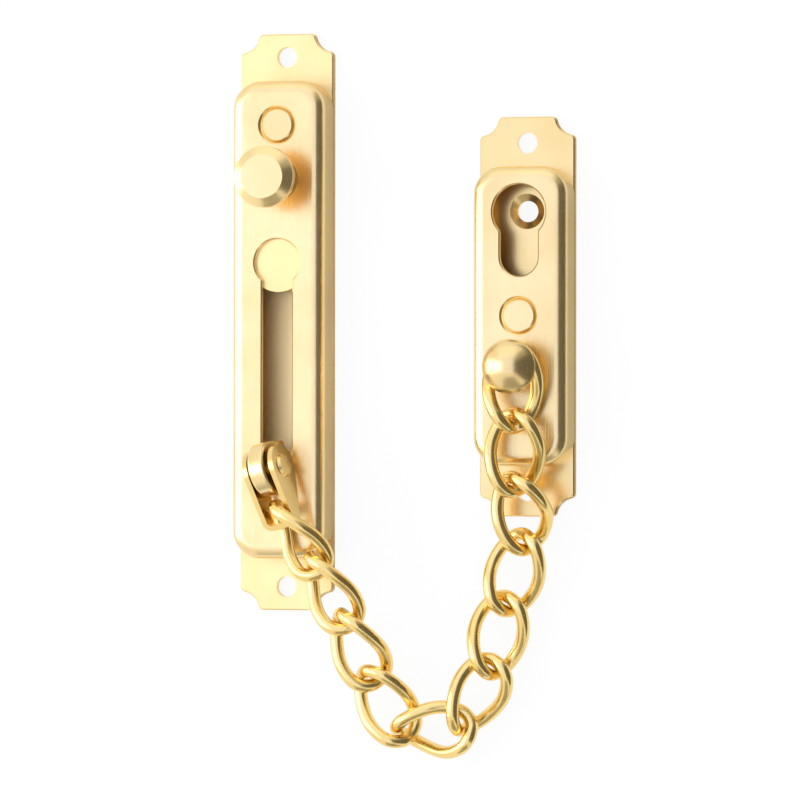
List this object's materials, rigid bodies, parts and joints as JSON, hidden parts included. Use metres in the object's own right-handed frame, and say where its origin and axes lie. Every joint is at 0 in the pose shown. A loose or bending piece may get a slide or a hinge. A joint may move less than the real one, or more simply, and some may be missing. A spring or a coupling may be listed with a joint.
{
  "type": "door chain",
  "caption": "Brass door chain: slotted track plate with a release knob and sliding shackle, twisted curb chain, and keyhole anchor plate with a domed stud.",
  "frame": {"origin": "centre of the track plate's back face, midway between its two screw holes", "axes": "+X right from the track plate to the anchor plate, +Y up along both plates, +Z out of the mounting faces; the part lies on its back with both backs at Z 0"},
  "size_m": [0.0787, 0.1652, 0.023],
  "materials": {
    "satin_brass": "satin, brushed along the plates",
    "polished_brass": "polished",
    "spring_brass": "satin"
  },
  "bodies": {
    "track_plate": {"track_base_plate": "satin_brass", "track_cover": "satin_brass", "track_rivet": "satin_brass"},
    "release": {"leaf_spring": "spring_brass", "release_knob": "satin_brass"},
    "slider": {"slider_head": "polished_brass"},
    "lug": {"slider_lug": "satin_brass"},
    "shackle": {"shackle_strap": "polished_brass", "shackle_pin": "polished_brass"},
    "link_01": {"chain_link_01": "polished_brass"},
    "link_02": {"chain_link_02": "polished_brass"},
    "link_03": {"chain_link_03": "polished_brass"},
    "link_04": {"chain_link_04": "polished_brass"},
    "link_05": {"chain_link_05": "polished_brass"},
    "link_06": {"chain_link_06": "polished_brass"},
    "link_07": {"chain_link_07": "polished_brass"},
    "link_08": {"chain_link_08": "polished_brass"},
    "link_09": {"chain_link_09": "polished_brass"},
    "link_10": {"chain_link_10": "polished_brass"},
    "link_11": {"chain_link_11": "polished_brass"},
    "anchor_plate": {"anchor_base_plate": "satin_brass", "anchor_cover": "satin_brass", "anchor_rivet": "satin_brass", "anchor_stud": "satin_brass"}
  },
  "joints": [
    {"name": "release_press", "type": "hinge", "parent": "track_plate", "child": "release", "pos_m": [0, 0.0497, 0.00875], "axis": [1, 0, 0], "range_deg": [0, 4.2], "stiffness_Nm_per_rad": 1.2},
    {"name": "slider_slide", "type": "slide", "parent": "track_plate", "child": "slider", "axis": [0, 1, 0], "range_m": [0, 0.0345]},
    {"name": "lug_swivel", "type": "hinge", "parent": "slider", "child": "lug", "pos_m": [0, -0.0337, 0], "axis": [0, 0, 1], "range_deg": [-33, 22]},
    {"name": "shackle_swing", "type": "hinge", "parent": "lug", "child": "shackle", "pos_m": [0, -0.0337, 0.0163], "axis": [-0.9482, -0.2541, -0.1908], "range_deg": [0, 120]},
    {"name": "link_01_turn", "type": "hinge", "parent": "shackle", "child": "link_01", "pos_m": [0.0021, -0.0419, 0.0173], "axis": [0, 0, 1], "range_deg": [-12, 18]},
    {"name": "link_02_turn", "type": "hinge", "parent": "link_01", "child": "link_02", "pos_m": [0.01083, -0.05517, 0.01566], "axis": [0, 0, -1], "range_deg": [-17, 29]},
    {"name": "link_03_turn", "type": "hinge", "parent": "link_02", "child": "link_03", "pos_m": [0.01753, -0.06775, 0.01392], "axis": [0, 0, 1], "range_deg": [-25, 13]},
    {"name": "link_04_turn", "type": "hinge", "parent": "link_03", "child": "link_04", "pos_m": [0.02176, -0.08078, 0.00874], "axis": [0, 0, -1], "range_deg": [-9, 31]},
    {"name": "link_05_turn", "type": "hinge", "parent": "link_04", "child": "link_05", "pos_m": [0.02849, -0.09378, 0.00556], "axis": [0, 0, 1], "range_deg": [-29, 6]},
    {"name": "link_06_turn", "type": "hinge", "parent": "link_05", "child": "link_06", "pos_m": [0.04357, -0.0924, 0.00644], "axis": [0, 0, -1], "range_deg": [-12, 26]},
    {"name": "link_07_turn", "type": "hinge", "parent": "link_06", "child": "link_07", "pos_m": [0.04993, -0.07831, 0.00658], "axis": [0, 0, 1], "range_deg": [-22, 15]},
    {"name": "link_08_turn", "type": "hinge", "parent": "link_07", "child": "link_08", "pos_m": [0.0527, -0.06386, 0.00538], "axis": [0, 0, -1], "range_deg": [-17, 25]},
    {"name": "link_09_turn", "type": "hinge", "parent": "link_08", "child": "link_09", "pos_m": [0.05777, -0.04976, 0.00586], "axis": [0, 0, 1], "range_deg": [-30, 18]},
    {"name": "link_10_turn", "type": "hinge", "parent": "link_09", "child": "link_10", "pos_m": [0.05646, -0.03699, 0.01286], "axis": [0, 0, -1], "range_deg": [-25, 13]},
    {"name": "link_11_turn", "type": "hinge", "parent": "link_10", "child": "link_11", "pos_m": [0.05724, -0.02266, 0.016], "axis": [0, 0, 1], "range_deg": [-14, 31]},
    {"name": "anchor_turn", "type": "hinge", "parent": "link_11", "child": "anchor_plate", "pos_m": [0.05672, -0.01056, 0], "axis": [0, 0, 1], "range_deg": [-33, 33]}
  ]
}
